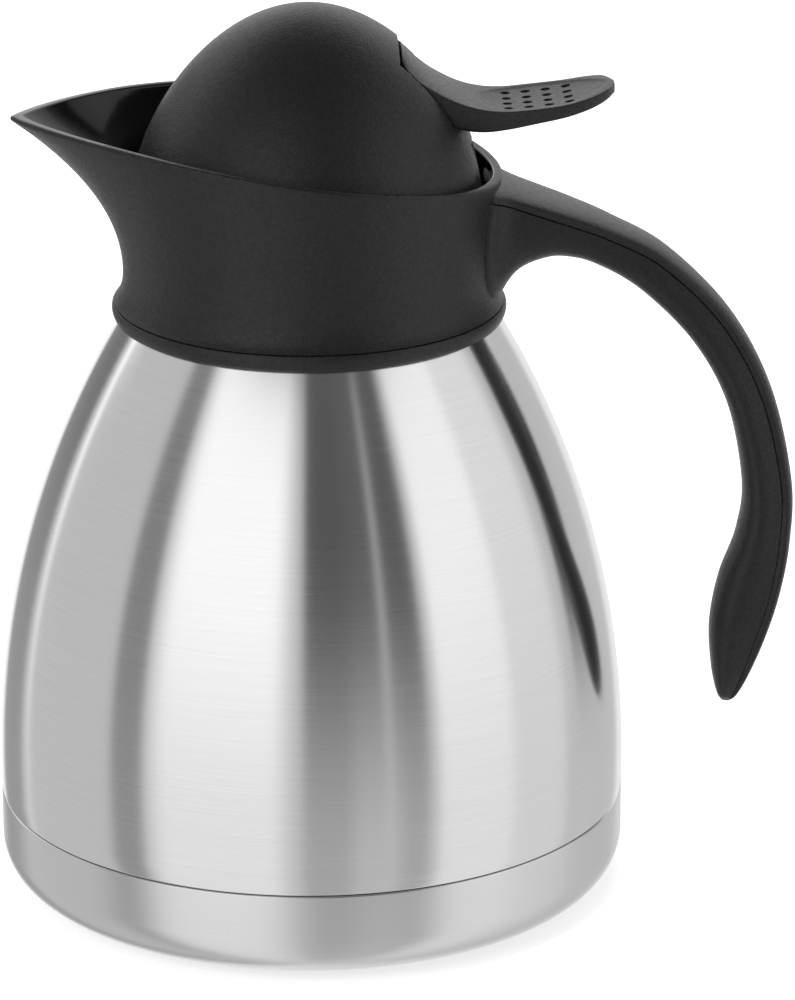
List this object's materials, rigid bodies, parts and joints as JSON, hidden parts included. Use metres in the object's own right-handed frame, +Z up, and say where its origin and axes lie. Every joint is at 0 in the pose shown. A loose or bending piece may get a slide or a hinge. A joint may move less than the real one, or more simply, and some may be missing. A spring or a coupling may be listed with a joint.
{
  "type": "thermal carafe",
  "caption": "Double-walled steel thermal carafe with pouring collar, open handle and sprung domed flip lid opened by a thumb lever.",
  "frame": {"origin": "centre of the foot ring, on the surface that the carafe stands on", "axes": "+Z up, +X towards the handle, the spout points to -X, +Y to the far side"},
  "size_m": [0.1777, 0.14, 0.2006],
  "materials": {
    "brushed_body": "brushed around the axis, semi-bright",
    "satin_base": "satin, fine lines around the axis",
    "inner_steel": "electropolished drawn steel",
    "floor_steel": "pressed, mill finish",
    "getter_metal": "dull sintered metal",
    "seal_glass": "fused sealing bead",
    "grained_plastic": "fine spark-eroded grain",
    "lever_plastic": "satin with faint moulding flow",
    "lid_plastic": "semi-matt moulded",
    "mouth_plastic": "polished moulded",
    "silicone": "matt translucent grey",
    "foot_rubber": "matt, slightly dusty",
    "foam": "foamed beads",
    "fastener_steel": "bright turned",
    "spring_wire": "drawn wire"
  },
  "bodies": {
    "carafe": {"outer_shell": "brushed_body", "inner_flask": "inner_steel", "vacuum_floor": "floor_steel", "getter": "getter_metal", "seal_plug": "seal_glass", "base_cup": "satin_base", "foot_ring": "foot_rubber", "collar_ring": "grained_plastic", "collar": "grained_plastic", "mouth_ring": "mouth_plastic", "neck_gasket": "silicone", "handle": "grained_plastic", "handle_cover": "grained_plastic", "handle_screws": "fastener_steel", "hinge_pin": "fastener_steel", "lid_spring": "spring_wire"},
    "lid": {"dome": "grained_plastic", "lid_base": "lid_plastic", "thumb_lever": "lever_plastic", "lever_screws": "fastener_steel", "dome_screws": "fastener_steel", "stopper_cup": "lid_plastic", "stopper_insulation": "foam", "stopper_gasket": "silicone"}
  },
  "joints": [
    {"name": "lid_hinge", "type": "hinge", "parent": "carafe", "child": "lid", "pos_m": [0.0325, 0, 0.1635], "axis": [0, 1, 0], "range_deg": [0, 45], "stiffness_Nm_per_rad": 0.25, "springref_deg": -28.65, "deforming": ["lid_spring"]}
  ]
}
